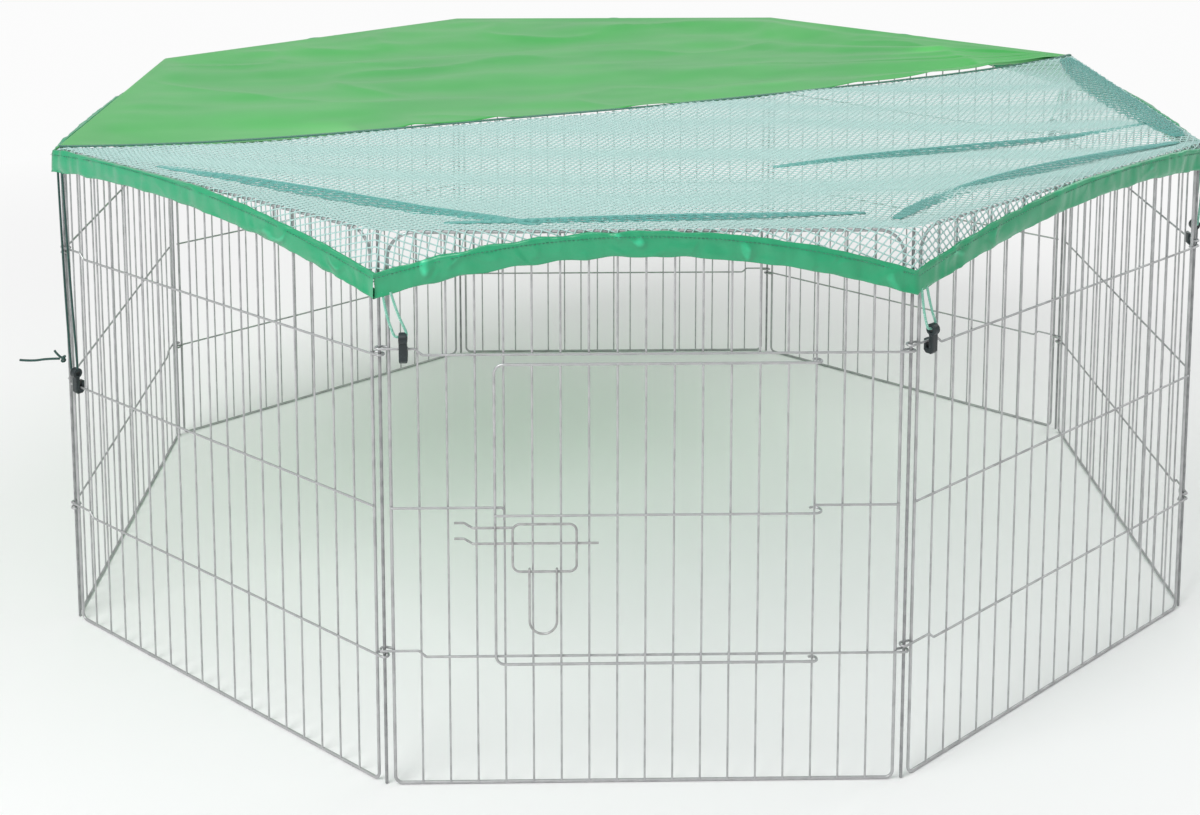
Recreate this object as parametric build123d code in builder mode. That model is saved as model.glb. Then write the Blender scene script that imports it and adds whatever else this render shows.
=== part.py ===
"""Folding wire run: a closed ring of eight hinged wire panels, a door with a sliding latch,
and a hooked-on cover that is half shade cloth and half net. Millimetres, +Z up.

The origin is the centre of the ring, at floor level. The front panel faces -Y.
"""

from build123d import *
from math import acos, atan2, cos, degrees, hypot, radians, sin, tan
import os

os.makedirs("parts", exist_ok=True)

# Ring of panels
PANEL_WIDTH = 570.0
PANEL_HEIGHT = 630.0
FRONT_TURN = 39.4
RIGHT_ANGLE = 90.0

# Wire sizes
FRAME_WIRE = 3.6
BAR_WIRE = 2.3
CROSS_WIRE = 2.6
DOOR_WIRE = 3.0
BOLT_WIRE = 2.6
HINGE_ROD = 3.6
WELD = 0.3

# Panel layout
POST_INSET = 10.0
BAR_GAPS = 18
TOP_BEND = 28.0
FOOT_BEND = 8.0
HIGH_WIRE_DROP = 136.0
UPPER_SPACING = 172.0
LOWER_SPACING = 171.0

# Hinge eyes, which a rod at each corner passes through
EYE_SLACK = 1.4
EYE_STEP = 7.0
EYE_LEAD = 4.0
RAISED_RUN = 38.0
JOG_LENGTH = 8.0
JOG_BEND = 4.0
RUN_START_GAP = 3.0

# Door in the front panel
JAMB_BAR = 4
PIVOT_BAR = 15
DOOR_GAP = 0.4
DOOR_LAP = 10.0
DOOR_HEAD_GAP = 10.0
DOOR_SILL_LAP = 8.0
DOOR_BEND = 10.0
DOOR_EYE_TURN = 215.0
DOOR_WIRE_DROP = 7.0
STUB_DROP = 14.0
STUB_BEND = 4.0

# Latch on the door
BOLT_GAP = 0.3
BOLT_RISE = 18.0
BOLT_BELOW_MID_WIRE = 38.0
BOLT_TIP = 11.0
BOLT_TIP_GAP = 5.0
BOLT_TIP_DEPTH = 1.2
BOLT_STEP_LENGTH = 10.0
BOLT_BEND = 3.0
BOLT_TAIL = 24.0
HANDLE_WIDTH = 69.0
HANDLE_HEIGHT = 54.0
HANDLE_START = 19.0
HANDLE_RISE = 5.0
HANDLE_BEND = 8.0
GUIDE_WIRE = 2.2
PULL_WIDTH = 29.6
PULL_LENGTH = 70.0
PULL_SHIFT = -1.7
PULL_SLACK = 0.3
PULL_EYE_TURN = 240.0

# Cover
SHEET_GAP = 0.3
SHEET_THICKNESS = 1.5
SKIRT_OUT = 5.0
SKIRT_THICKNESS = 1.0
HEM_THICKNESS = 5.0
HEM_DEPTH = 28.0
HEM_TUCK = 6.0
NET_PITCH = 54.0
NET_STRAND = 8.0
NET_MARGIN = 36.0
CORD = 3.0
CORD_IN_HEM = 16.0
CORD_CHANNEL_GAP = 0.3
CORD_END = 32.0

# Hooks that hold the cover's cord loops to the wires
HOOK_PLACE = 26.0
HOOK_WIDTH = 9.0
HOOK_SLOT_GAP = 0.25
HOOK_SEAT_GAP = 0.05
HOOK_TIP = 3.6
HOOK_TIP_RISE = 8.0
HOOK_FLOOR = 6.0
HOOK_SHANK = 6.0
HOOK_EYE_RISE = 20.0
HOOK_EYE = 3.3
HOOK_EYE_WALL = 3.2
HOOK_ROUND = 1.2
LOOP_GAP = 0.2
LOOP_HALF_WIDTH = 9.5
LOOP_LEAN = 14.0
LOOP_BEND = 4.0
LOOP_TOP_WIDTH = 5.0
KNOT_SIZE = 9.0
KNOT_RISE = 16.0
KNOT_OUT = 5.5
TAIL_RUN = 17.0
TAIL_DROP = 3.0
SHORT_TAIL = 11.0

# Sizes that follow from those above
side_turn = RIGHT_ANGLE - FRONT_TURN
half_front = PANEL_WIDTH / 2
high_wire = PANEL_HEIGHT - HIGH_WIRE_DROP
mid_wire = high_wire - UPPER_SPACING
low_wire = mid_wire - LOWER_SPACING
corner_x = half_front + PANEL_WIDTH * cos(radians(FRONT_TURN))
corner_y = half_front + PANEL_WIDTH * sin(radians(FRONT_TURN))

eye_radius = HINGE_ROD / 2 + EYE_SLACK + CROSS_WIRE / 2
cross_out = eye_radius
frame_out = cross_out - (CROSS_WIRE + FRAME_WIRE) / 2 + WELD
bar_out = cross_out - (CROSS_WIRE + BAR_WIRE) / 2 + WELD
bar_pitch = (PANEL_WIDTH - 2 * POST_INSET) / BAR_GAPS
rail_foot = FRAME_WIRE / 2
rail_top = PANEL_HEIGHT - FRAME_WIRE / 2
run_start = RAISED_RUN + JOG_LENGTH + RUN_START_GAP
run_end = PANEL_WIDTH - POST_INSET - EYE_LEAD


def bar_place(index):
    """Distance of a bar from the panel's left hinge line, counted from the left post."""
    return POST_INSET + index * bar_pitch


jamb = bar_place(JAMB_BAR)
pivot = bar_place(PIVOT_BAR)
door_out = cross_out + CROSS_WIRE / 2 + DOOR_GAP + DOOR_WIRE / 2
door_left = jamb - DOOR_LAP
door_top = high_wire - DOOR_HEAD_GAP
door_bottom = low_wire - DOOR_SILL_LAP
door_wire_out = door_out + (BAR_WIRE + CROSS_WIRE) / 2 - WELD
door_wire_height = mid_wire - DOOR_WIRE_DROP

bolt_out = door_out + DOOR_WIRE / 2 + BOLT_GAP + BOLT_WIRE / 2
handle_out = bolt_out + BOLT_WIRE - WELD
bolt_low = mid_wire - BOLT_BELOW_MID_WIRE
bolt_high = bolt_low + BOLT_RISE
bolt_end = bar_place(JAMB_BAR - 2) + BAR_WIRE / 2 + BOLT_TIP_GAP
handle_left = door_left + HANDLE_START
handle_right = handle_left + HANDLE_WIDTH
handle_top = bolt_high + HANDLE_RISE
handle_bottom = handle_top - HANDLE_HEIGHT
handle_middle = (handle_left + handle_right) / 2
pull_eye_radius = BOLT_WIRE + PULL_SLACK
pull_out = handle_out + pull_eye_radius
guide_radius = (BOLT_WIRE + GUIDE_WIRE) / 2 + BOLT_GAP

sheet_foot = PANEL_HEIGHT + SHEET_GAP
hem_out = SKIRT_OUT + SKIRT_THICKNESS
cord_out = hem_out + HEM_THICKNESS / 2
hem_middle_foot = sheet_foot - HEM_DEPTH

# Corners in order round the ring, from the front left
CORNERS = [
    (-half_front, -corner_y),
    (half_front, -corner_y),
    (corner_x, -half_front),
    (corner_x, half_front),
    (half_front, corner_y),
    (-half_front, corner_y),
    (-corner_x, half_front),
    (-corner_x, -half_front),
]

# How far the hem's foot hangs below the rails at each corner, where its cord pulls it down
CORNER_DROPS = [72.0, 72.0, 34.0, 55.0, 55.0, 55.0, 55.0, 30.0]

# Name, heading, turn at the left corner, turn at the right corner, wire that the hook is on
PANELS = [
    ("front_panel", 0, FRONT_TURN, FRONT_TURN, high_wire),
    ("right_front_panel", FRONT_TURN, FRONT_TURN, side_turn, high_wire),
    ("right_panel", 90, side_turn, side_turn, high_wire),
    ("right_back_panel", 180 - FRONT_TURN, side_turn, FRONT_TURN, high_wire),
    ("back_panel", 180, FRONT_TURN, FRONT_TURN, high_wire),
    ("left_back_panel", 180 + FRONT_TURN, FRONT_TURN, side_turn, high_wire),
    ("left_panel", 270, side_turn, side_turn, high_wire),
    ("left_front_panel", 360 - FRONT_TURN, side_turn, FRONT_TURN, mid_wire),
]


def panel_place(index):
    """Place of a panel: X runs along it from its left corner, and Y runs into the ring."""
    x, y = CORNERS[index]
    heading = PANELS[index][1]
    return Location((x, y, 0), (0, 0, heading))


def wire(route, diameter):
    """One round wire along a route."""
    path = route.wire()
    with BuildPart() as run:
        with BuildSketch(Plane(origin=path @ 0, z_dir=path % 0)):
            Circle(diameter / 2)
        sweep(path=path)
    return run.part


def group(name, pieces):
    """Several separate solids in one node."""
    return Compound(label=name, children=pieces)


def save(piece, name, place=Location()):
    """Label a finished piece and write it where it stands."""
    placed = piece.moved(place)
    placed.label = name
    export_step(placed, f"parts/{name}.step")


def frame_pieces():
    """Posts, rails and bends of a panel's outer frame."""
    face = Plane.XZ.offset(frame_out)
    left = POST_INSET
    right = PANEL_WIDTH - POST_INSET
    foot_end = rail_foot + FOOT_BEND
    top_end = rail_top - TOP_BEND
    straights = [
        ((left, foot_end), (left, top_end)),
        ((right, foot_end), (right, top_end)),
        ((left + FOOT_BEND, rail_foot), (right - FOOT_BEND, rail_foot)),
        ((left + TOP_BEND, rail_top), (right - TOP_BEND, rail_top)),
    ]
    bends = [
        ((left + FOOT_BEND, foot_end), FOOT_BEND, 180),
        ((right - FOOT_BEND, foot_end), FOOT_BEND, 270),
        ((right - TOP_BEND, top_end), TOP_BEND, 0),
        ((left + TOP_BEND, top_end), TOP_BEND, 90),
    ]
    pieces = []
    for start, end in straights:
        with BuildLine(face) as run:
            Line(start, end)
        pieces.append(wire(run, FRAME_WIRE))
    for centre, radius, start_angle in bends:
        with BuildLine(face) as run:
            CenterArc(centre, radius, start_angle, 90)
        pieces.append(wire(run, FRAME_WIRE))
    return pieces


def upright(diameter, out, x, low, high):
    """One straight upright wire."""
    with BuildLine(Plane.XZ.offset(out)) as run:
        Line((x, low), (x, high))
    return wire(run, diameter)


def panel_bars(has_door):
    """Upright bars of a panel. Those in a doorway stop at the wires below and above it."""
    pieces = []
    for index in range(1, BAR_GAPS):
        x = bar_place(index)
        if has_door and JAMB_BAR < index < PIVOT_BAR:
            pieces.append(upright(BAR_WIRE, bar_out, x, rail_foot, low_wire + CROSS_WIRE / 2))
            pieces.append(upright(BAR_WIRE, bar_out, x, high_wire - CROSS_WIRE / 2, rail_top))
        else:
            pieces.append(upright(BAR_WIRE, bar_out, x, rail_foot, rail_top))
    return pieces


def eye_tail():
    """Tail of a hinge eye: the turn of the eye, and where its end meets the post."""
    tail_in = (CROSS_WIRE + FRAME_WIRE) / 2 - WELD - frame_out
    reach = hypot(POST_INSET, tail_in)
    turn = 270 - degrees(atan2(tail_in, POST_INSET)) - degrees(acos(eye_radius / reach))
    return turn, tail_in


def right_eye(level):
    """End of a cross wire at the panel's right, bent round the corner rod and back to the post."""
    turn, tail_in = eye_tail()
    with BuildLine(Plane.XY.offset(level)) as run:
        Line((run_end, -cross_out), (PANEL_WIDTH, -cross_out))
        eye = CenterArc((PANEL_WIDTH, 0), eye_radius, -90, turn)
        Line(eye @ 1, (PANEL_WIDTH - POST_INSET, tail_in))
    return wire(run, CROSS_WIRE)


def left_eye(level):
    """End of a cross wire at the panel's left: it jogs up, so that the two eyes stack."""
    turn, tail_in = eye_tail()
    jog_end = RAISED_RUN + JOG_LENGTH
    with BuildLine(Plane.XY.offset(level + EYE_STEP)) as run:
        FilletPolyline(
            (run_start, -cross_out, -EYE_STEP),
            (jog_end, -cross_out, -EYE_STEP),
            (RAISED_RUN, -cross_out, 0),
            (0, -cross_out, 0),
            radius=JOG_BEND,
        )
        eye = CenterArc((0, 0), eye_radius, -90, -turn)
        Line(eye @ 1, (POST_INSET, tail_in))
    return wire(run, CROSS_WIRE)


def level_wire(diameter, out, level, start, end):
    """One straight level wire."""
    with BuildLine(Plane.XY.offset(level)) as run:
        Line((start, -out), (end, -out))
    return wire(run, diameter)


def cross_wires(has_door):
    """Three level wires of a panel. The upper and lower ones end in hinge eyes."""
    pieces = []
    for level in (low_wire, high_wire):
        pieces.append(left_eye(level))
        pieces.append(level_wire(CROSS_WIRE, cross_out, level, run_start, run_end))
        pieces.append(right_eye(level))
    left_end = POST_INSET - CROSS_WIRE / 2
    right_end = PANEL_WIDTH - POST_INSET + CROSS_WIRE / 2
    if has_door:
        with BuildLine(Plane.XZ.offset(cross_out)) as stub:
            FilletPolyline(
                (left_end, mid_wire),
                (jamb, mid_wire),
                (jamb, mid_wire - STUB_DROP),
                radius=STUB_BEND,
            )
        pieces.append(wire(stub, CROSS_WIRE))
        pieces.append(level_wire(CROSS_WIRE, cross_out, mid_wire, pivot - BAR_WIRE / 2, right_end))
    else:
        pieces.append(level_wire(CROSS_WIRE, cross_out, mid_wire, left_end, right_end))
    return pieces


def hook(level):
    """Moulded hook: a slot at its foot takes a cross wire, and its eye takes a cord loop."""
    slot_half = CROSS_WIRE / 2 + HOOK_SLOT_GAP
    slot_foot = level - CROSS_WIRE / 2 - HOOK_SEAT_GAP
    inner = -cross_out + slot_half + HOOK_TIP
    outer = -cross_out - slot_half - HOOK_SHANK
    eye_level = level + HOOK_EYE_RISE
    foot = slot_foot - HOOK_FLOOR
    tip = level + HOOK_TIP_RISE
    with BuildPart() as body:
        with BuildSketch(Plane.YZ.offset(HOOK_PLACE - HOOK_WIDTH / 2)):
            with BuildLine():
                Polyline(
                    (outer, foot + HOOK_FLOOR / 2),
                    (outer + HOOK_FLOOR / 2, foot),
                    (inner - HOOK_FLOOR / 2, foot),
                    (inner, foot + HOOK_FLOOR / 2),
                    (inner, tip),
                    (-cross_out + slot_half, tip),
                    (-cross_out + slot_half, slot_foot),
                    (-cross_out - slot_half, slot_foot),
                    (-cross_out - slot_half, eye_level),
                    (outer, eye_level),
                    close=True,
                )
            make_face()
            with Locations((-cord_out, eye_level)):
                Circle(HOOK_EYE + HOOK_EYE_WALL)
            with Locations((-cord_out, eye_level)):
                Circle(HOOK_EYE, mode=Mode.SUBTRACT)
        extrude(amount=HOOK_WIDTH)
        sides = body.faces().filter_by(Axis.X)
        fillet(sides.sort_by(Axis.X)[0].outer_wire().edges(), HOOK_ROUND)
        fillet(body.faces().filter_by(Axis.X).sort_by(Axis.X)[-1].outer_wire().edges(), HOOK_ROUND)
    return body.part


def hinge_rod():
    """Loose upright rod at a corner, through the eyes of both panels."""
    with BuildPart() as rod:
        Cylinder(HINGE_ROD / 2, PANEL_HEIGHT, align=(Align.CENTER, Align.CENTER, Align.MIN))
        chamfer(rod.edges().filter_by(GeomType.CIRCLE), HINGE_ROD / 5)
    return rod.part


def door_eye(level, diameter, out, lead):
    """End of a door wire, bent round the pivot bar."""
    with BuildLine(Plane.XY.offset(level)) as run:
        Line((pivot - lead, -out), (pivot, -out))
        CenterArc((pivot, -bar_out), out - bar_out, -90, DOOR_EYE_TURN)
    return wire(run, diameter)


def door_frame():
    """Outer wire of the door, open at the pivot side, where its ends are eyes."""
    face = Plane.XZ.offset(door_out)
    lead = DOOR_BEND
    pieces = []
    for level in (door_top, door_bottom):
        pieces.append(door_eye(level, DOOR_WIRE, door_out, lead))
        pieces.append(level_wire(DOOR_WIRE, door_out, level, door_left + DOOR_BEND, pivot - lead))
    pieces.append(upright(DOOR_WIRE, door_out, door_left, door_bottom + DOOR_BEND, door_top - DOOR_BEND))
    bend_x = door_left + DOOR_BEND
    for bend_z, start_angle in ((door_top - DOOR_BEND, 90), (door_bottom + DOOR_BEND, 180)):
        with BuildLine(face) as run:
            CenterArc((bend_x, bend_z), DOOR_BEND, start_angle, 90)
        pieces.append(wire(run, DOOR_WIRE))
    return pieces


def door_bars():
    """Upright bars of the door, in line with the panel's bars."""
    return [
        upright(BAR_WIRE, door_out, bar_place(index), door_bottom, door_top)
        for index in range(JAMB_BAR + 1, PIVOT_BAR)
    ]


def door_cross_wire():
    """Level wire across the middle of the door, with its own eye on the pivot bar."""
    lead = DOOR_BEND
    start = door_left - DOOR_WIRE / 2
    return [
        level_wire(CROSS_WIRE, door_wire_out, door_wire_height, start, pivot - lead),
        door_eye(door_wire_height, CROSS_WIRE, door_wire_out, lead),
    ]


def bolt_prong(level, end):
    """Level rod of the latch. Its tip steps in between two bars of the panel."""
    tip_end = bolt_end + BOLT_TIP
    with BuildLine(Plane.XY.offset(level)) as run:
        FilletPolyline(
            (bolt_end, BOLT_TIP_DEPTH),
            (tip_end, BOLT_TIP_DEPTH),
            (tip_end + BOLT_STEP_LENGTH, -bolt_out),
            (end, -bolt_out),
            radius=BOLT_BEND,
        )
    return wire(run, BOLT_WIRE)


def latch_bolt():
    """Two prongs and a finger frame, welded into one sliding piece."""
    with BuildLine(Plane.XZ.offset(handle_out)) as ring:
        FilletPolyline(
            (handle_right, handle_top),
            (handle_right, handle_bottom),
            (handle_left, handle_bottom),
            (handle_left, handle_top),
            radius=HANDLE_BEND,
            close=True,
        )
    with BuildPart() as bolt:
        add(wire(ring, BOLT_WIRE))
        add(bolt_prong(bolt_low, handle_right + BOLT_TAIL))
        add(bolt_prong(bolt_high, handle_left + BOLT_WIRE / 2))
    return bolt.part


def latch_pull():
    """Drop handle that hangs by two eyes on the foot of the finger frame."""
    middle = handle_middle + PULL_SHIFT
    half = PULL_WIDTH / 2
    bend_height = handle_bottom - PULL_LENGTH + half
    with BuildLine(Plane.XZ.offset(pull_out)) as loop:
        Line((middle - half, handle_bottom), (middle - half, bend_height))
        CenterArc((middle, bend_height), half, 180, 180)
        Line((middle + half, bend_height), (middle + half, handle_bottom))
    with BuildPart() as pull:
        add(wire(loop, BOLT_WIRE))
        for x in (middle - half, middle + half):
            with BuildLine(Plane.YZ.offset(x)) as eye:
                CenterArc((-handle_out, handle_bottom), pull_eye_radius, 180, -PULL_EYE_TURN)
            add(wire(eye, BOLT_WIRE))
    return pull.part


def latch_guides():
    """Small rings on the door that the prongs slide through."""
    places = [
        (door_left, -bolt_out, bolt_high),
        (door_left, -bolt_out, bolt_low),
        (bar_place(JAMB_BAR + 1), -bolt_out, bolt_low),
    ]
    with BuildPart() as rings:
        with Locations(*places):
            Torus(guide_radius, GUIDE_WIRE / 2, rotation=(0, 90, 0))
    return rings.part


def ring_corner(index, out):
    """Corner of the ring's outline, moved outwards from the hinge lines."""
    x, y = CORNERS[index]
    _, heading, left_turn, _, _ = PANELS[index]
    facing = radians(heading - 90 - left_turn / 2)
    reach = out / cos(radians(left_turn / 2))
    return (x + reach * cos(facing), y + reach * sin(facing))


def sheet(corner_indices):
    """Half of the cover's top, flat on the rails."""
    outline = [ring_corner(index, hem_out) for index in corner_indices]
    with BuildPart() as top:
        with BuildSketch(Plane.XY.offset(sheet_foot)):
            with BuildLine():
                Polyline(*outline, close=True)
            make_face()
        extrude(amount=SHEET_THICKNESS)
    return top.part


def net_sheet(corner_indices):
    """Net half of the cover's top, with its mesh opened out to a coarse grid."""
    outline = [ring_corner(index, hem_out) for index in corner_indices]
    seam = degrees(atan2(2 * half_front, 2 * corner_x))
    with BuildSketch() as border:
        with BuildLine():
            Polyline(*outline, close=True)
        make_face()
        offset(amount=-NET_MARGIN, kind=Kind.INTERSECTION, mode=Mode.REPLACE)
    count = int(3 * PANEL_WIDTH / NET_PITCH)
    with BuildSketch(Plane.XY.rotated((0, 0, seam))) as gaps:
        with GridLocations(NET_PITCH, NET_PITCH, count, count):
            Rectangle(NET_PITCH - NET_STRAND, NET_PITCH - NET_STRAND)
    whole = [gap for gap in gaps.sketch.faces() if is_inside(gap, border.sketch.face())]
    with BuildPart() as top:
        with BuildSketch(Plane.XY.offset(sheet_foot)):
            with BuildLine():
                Polyline(*outline, close=True)
            make_face()
            add(whole, mode=Mode.SUBTRACT)
        extrude(amount=SHEET_THICKNESS)
    return top.part, len(whole)


def is_inside(gap, border):
    """Whether every corner of a gap lies inside the border."""
    return all(border.is_inside(corner.center()) for corner in gap.vertices())


def hem_arch(index, rise, half_width):
    """Arch that the hem's foot follows along a panel, raised, between the drops at its corners."""
    left_drop = CORNER_DROPS[index]
    right_drop = CORNER_DROPS[(index + 1) % len(CORNER_DROPS)]
    return ThreePointArc(
        (half_front - half_width, PANEL_HEIGHT - left_drop + rise),
        (half_front, hem_middle_foot + rise),
        (half_front + half_width, PANEL_HEIGHT - right_drop + rise),
    )


def plan_strip(index, inner, outer):
    """Strip outside a panel, mitred to its neighbours' strips, seen from above."""
    _, _, left_turn, right_turn, _ = PANELS[index]
    left = tan(radians(left_turn / 2))
    right = tan(radians(right_turn / 2))
    return Polyline(
        (-inner * left, -inner),
        (PANEL_WIDTH + inner * right, -inner),
        (PANEL_WIDTH + outer * right, -outer),
        (-outer * left, -outer),
        close=True,
    )


def hanging_strip(index, inner, thickness, foot_rise, crest_rise=None):
    """Part of the cover that hangs outside a panel, above the arch of the hem's foot.

    Its upper edge is a second arch, or without a crest_rise the edge of the cover's top.
    """
    outer = inner + thickness
    half_width = half_front + outer
    with BuildPart() as strip:
        with BuildSketch(Plane.XZ.offset(inner)):
            with BuildLine():
                foot = hem_arch(index, foot_rise, half_width)
                if crest_rise is None:
                    left_top = (half_front - half_width, sheet_foot)
                    right_top = (half_front + half_width, sheet_foot)
                    Polyline(foot @ 0, left_top, right_top, foot @ 1)
                else:
                    crest = hem_arch(index, crest_rise, half_width)
                    Line(foot @ 0, crest @ 0)
                    Line(foot @ 1, crest @ 1)
            make_face()
        extrude(amount=thickness)
        with BuildSketch():
            with BuildLine():
                plan_strip(index, inner, outer)
            make_face()
        extrude(amount=PANEL_HEIGHT + HEM_DEPTH, mode=Mode.INTERSECT)
    return strip.part


def hem_strip(index):
    """Hem outside a panel, with the channel that the draw cord runs in."""
    with BuildLine(Plane.XZ.offset(cord_out)) as run:
        hem_arch(index, CORD_IN_HEM, half_front + hem_out + HEM_THICKNESS)
    channel = wire(run, CORD + 2 * CORD_CHANNEL_GAP)
    return hanging_strip(index, hem_out, HEM_THICKNESS, 0, HEM_DEPTH) - channel


def draw_cord_run(index):
    """Draw cord inside the hem of one panel, up to where it comes out at the corners."""
    with BuildLine(Plane.XZ.offset(cord_out)) as channel:
        hem_arch(index, CORD_IN_HEM, half_front + hem_out + HEM_THICKNESS)
    whole = channel.line.edges()[0]
    end_share = CORD_END / whole.length
    with BuildLine() as run:
        add(whole.trim(end_share, 1 - end_share))
    return wire(run, CORD)


def cord_loop(index):
    """Loop of the cord that comes out of the hem at a corner and runs down through a hook's eye."""
    level = PANELS[index][4]
    loop_foot = level + HOOK_EYE_RISE + HOOK_EYE - CORD / 2 - LOOP_GAP
    loop_top = PANEL_HEIGHT - CORNER_DROPS[index] + CORD_IN_HEM - CORD / 2
    left = HOOK_PLACE - LOOP_LEAN - LOOP_TOP_WIDTH
    with BuildLine(Plane.XZ.offset(cord_out)) as run:
        FilletPolyline(
            (left, loop_top),
            (HOOK_PLACE - LOOP_HALF_WIDTH, loop_foot),
            (HOOK_PLACE + LOOP_HALF_WIDTH, loop_foot),
            (left + 2 * LOOP_TOP_WIDTH, loop_top),
            radius=LOOP_BEND,
        )
    return wire(run, CORD).moved(panel_place(index))


def knot_centre():
    """Centre of the knot on the long loop at the left front corner."""
    level = PANELS[-1][4]
    along = HOOK_PLACE - LOOP_HALF_WIDTH - KNOT_SIZE
    place = (along, -cord_out - KNOT_OUT, level + HOOK_EYE_RISE + KNOT_RISE)
    return (panel_place(len(PANELS) - 1) * Location(place)).position


def cord_knot():
    """Knot of the cord's two ends, with the short one standing out of it."""
    centre = knot_centre()
    with BuildPart() as knot:
        with Locations(centre):
            Sphere(KNOT_SIZE / 2)
        with BuildLine() as run:
            Line(centre, centre + Vector(-SHORT_TAIL, 0, SHORT_TAIL))
        add(wire(run, CORD))
    return knot.part


def cord_tail():
    """Long free end of the cord, standing out to the left of the knot."""
    centre = knot_centre()
    start = centre + Vector(-KNOT_SIZE / 2, 0, 0)
    radius = TAIL_RUN * 0.45 / tan(atan2(TAIL_DROP, TAIL_RUN) / 2)
    with BuildLine() as run:
        FilletPolyline(
            start,
            start + Vector(-TAIL_RUN, 0, 0),
            start + Vector(-2 * TAIL_RUN, 0, -TAIL_DROP),
            start + Vector(-3 * TAIL_RUN, 0, -TAIL_DROP + TAIL_DROP / 2),
            radius=radius / 2,
        )
    print(f"cord tail: length {run.wire().length:.1f}, bend radius {radius / 2:.1f}")
    return wire(run, CORD)


# Panels: frame, bars, cross wires, the rod at the left corner and the cover's hook
for index, (name, heading, left_turn, right_turn, hook_wire) in enumerate(PANELS):
    has_door = name == "front_panel"
    place = panel_place(index)
    save(group("frame", frame_pieces()), f"{name}_frame", place)
    save(group("bars", panel_bars(has_door)), f"{name}_bars", place)
    save(group("cross_wires", cross_wires(has_door)), f"{name}_cross_wires", place)
    save(hinge_rod(), f"{name}_hinge_rod", place)
    save(hook(hook_wire), f"{name}_cover_hook", place)

# Door and its latch, in the front panel
front = panel_place(0)
save(group("door_frame", door_frame()), "door_frame", front)
save(group("door_bars", door_bars()), "door_bars", front)
save(group("door_cross_wire", door_cross_wire()), "door_cross_wire", front)
save(latch_bolt(), "latch_bolt", front)
save(latch_pull(), "latch_pull", front)
save(latch_guides(), "latch_guides", front)

# Cover: shade cloth over the back half of the ring, net over the front half
shade_corners = [3, 4, 5, 6, 7]
net_corners = [7, 0, 1, 2, 3]
shade_panels = [3, 4, 5, 6]
net_panels = [7, 0, 1, 2]
net, gap_count = net_sheet(net_corners)
print("net gaps:", gap_count)
save(sheet(shade_corners), "shade_sheet")
save(net, "net_sheet")
for name, indices in (("shade_skirt", shade_panels), ("net_skirt", net_panels)):
    strips = [
        hanging_strip(index, SKIRT_OUT, SKIRT_THICKNESS, HEM_TUCK).moved(panel_place(index))
        for index in indices
    ]
    save(group(name, strips), name)
every_panel = range(len(PANELS))
hems = [hem_strip(index).moved(panel_place(index)) for index in every_panel]
save(group("hem", hems), "hem")
cord_runs = [draw_cord_run(index).moved(panel_place(index)) for index in every_panel]
save(group("draw_cord", cord_runs), "draw_cord")
save(group("cord_loops", [cord_loop(index) for index in every_panel]), "cord_loops")
save(cord_knot(), "cord_knot")
save(cord_tail(), "cord_tail")
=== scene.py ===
"""Looks of the folding wire run: zinc-plated wire, moulded hooks, and a cover of shade cloth and net.

Everything is in metres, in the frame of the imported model: the origin is the centre of the ring on the floor,
+Z is up, and the door's panel faces -Y.
"""

import logging
import math
from collections.abc import Callable, Iterable, Sequence
from dataclasses import dataclass, field
from enum import Enum

import bmesh
import bpy
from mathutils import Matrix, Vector, noise

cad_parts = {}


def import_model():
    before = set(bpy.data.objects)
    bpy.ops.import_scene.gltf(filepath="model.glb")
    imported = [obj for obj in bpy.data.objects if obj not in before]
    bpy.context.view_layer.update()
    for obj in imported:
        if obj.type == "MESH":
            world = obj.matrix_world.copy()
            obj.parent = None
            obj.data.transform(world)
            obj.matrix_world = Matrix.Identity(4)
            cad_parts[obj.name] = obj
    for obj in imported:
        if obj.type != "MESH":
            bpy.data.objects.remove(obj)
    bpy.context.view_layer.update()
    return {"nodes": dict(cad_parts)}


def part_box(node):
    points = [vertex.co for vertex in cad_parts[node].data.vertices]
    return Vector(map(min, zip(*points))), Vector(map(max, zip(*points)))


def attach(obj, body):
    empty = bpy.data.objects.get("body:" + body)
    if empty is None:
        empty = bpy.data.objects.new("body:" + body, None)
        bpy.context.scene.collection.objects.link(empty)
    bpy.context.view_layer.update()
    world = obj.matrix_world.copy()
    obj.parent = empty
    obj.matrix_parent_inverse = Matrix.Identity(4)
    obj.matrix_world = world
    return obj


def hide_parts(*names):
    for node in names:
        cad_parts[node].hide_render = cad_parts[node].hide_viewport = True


logging.basicConfig(level=logging.INFO, format="%(message)s")
LOG = logging.getLogger("wire_run")
COVER_BODY = "cover"
PANEL_NAMES = (
    "front_panel",
    "right_front_panel",
    "right_panel",
    "right_back_panel",
    "back_panel",
    "left_back_panel",
    "left_panel",
    "left_front_panel",
)

Colour = tuple[float, float, float]

ZINC_GRAIN_SCALE = 1800.0
ZINC_GRAIN_ROUGHNESS = 0.08
ZINC_SPECK_SCALE = 420.0
ZINC_SPECK_SHARE = 0.1
ZINC_SPECK_COLOUR = (0.3, 0.3, 0.3)
CLOTH_SLUB_SCALE = 240.0
CLOTH_SLUB_SHARE = 0.12
CORD_FLECK_SCALE = 700.0


class ClothHalf(Enum):
    """The two halves of the cover, by the number of the corner where each one starts."""

    SHADE = 3
    NET = 7


# Shader node groups


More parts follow.
